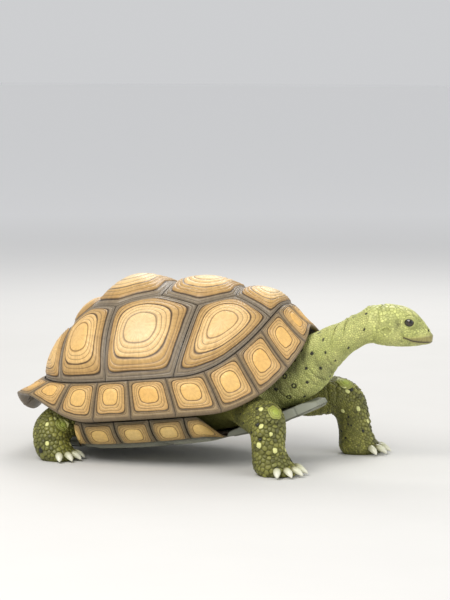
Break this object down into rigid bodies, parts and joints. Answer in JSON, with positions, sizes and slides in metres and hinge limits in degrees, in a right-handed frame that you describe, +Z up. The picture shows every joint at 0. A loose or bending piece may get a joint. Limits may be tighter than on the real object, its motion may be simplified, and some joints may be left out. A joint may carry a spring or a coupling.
{
  "type": "yellow-footed tortoise figure",
  "caption": "Life-size standing tortoise with a domed, scute-covered shell, stretched neck, clawed feet and short tail.",
  "frame": {"origin": "middle of the bounding box's base, on the floor that the feet stand on", "axes": "+X to the snout, +Y to the animal's left, +Z up"},
  "size_m": [0.5368, 0.2746, 0.231],
  "materials": {
    "scute": "satin horn",
    "marginal": "satin horn",
    "plastron": "satin horn",
    "pale_skin": "dry scaly skin",
    "dark_skin": "dry scaly skin",
    "beak": "smooth horn",
    "claw": "smooth horn",
    "eye": "wet gloss"
  },
  "bodies": {
    "root": {"beak_lower": "beak", "beak_upper": "beak", "claw_foreleg_left_1": "claw", "claw_foreleg_left_2": "claw", "claw_foreleg_left_3": "claw", "claw_foreleg_left_4": "claw", "claw_foreleg_left_5": "claw", "claw_foreleg_right_1": "claw", "claw_foreleg_right_2": "claw", "claw_foreleg_right_3": "claw", "claw_foreleg_right_4": "claw", "claw_foreleg_right_5": "claw", "claw_hindleg_left_1": "claw", "claw_hindleg_left_2": "claw", "claw_hindleg_left_3": "claw", "claw_hindleg_left_4": "claw", "claw_hindleg_right_1": "claw", "claw_hindleg_right_2": "claw", "claw_hindleg_right_3": "claw", "claw_hindleg_right_4": "claw", "costal_left_1": "scute", "costal_left_2": "scute", "costal_left_3": "scute", "costal_left_4": "scute", "costal_right_1": "scute", "costal_right_2": "scute", "costal_right_3": "scute", "costal_right_4": "scute", "eye_left": "eye", "eye_right": "eye", "foreleg_left": "dark_skin", "foreleg_right": "dark_skin", "head": "pale_skin", "hindleg_left": "dark_skin", "hindleg_right": "dark_skin", "lower_jaw": "pale_skin", "marginals_bridge_left": "marginal", "marginals_bridge_right": "marginal", "marginals_front_left": "marginal", "marginals_front_right": "marginal", "marginals_rear_left": "marginal", "marginals_rear_right": "marginal", "neck": "pale_skin", "plastron": "plastron", "supracaudal": "marginal", "tail": "dark_skin", "trunk": "dark_skin", "vertebral_1": "scute", "vertebral_2": "scute", "vertebral_3": "scute", "vertebral_4": "scute", "vertebral_5": "scute"}
  },
  "joints": []
}
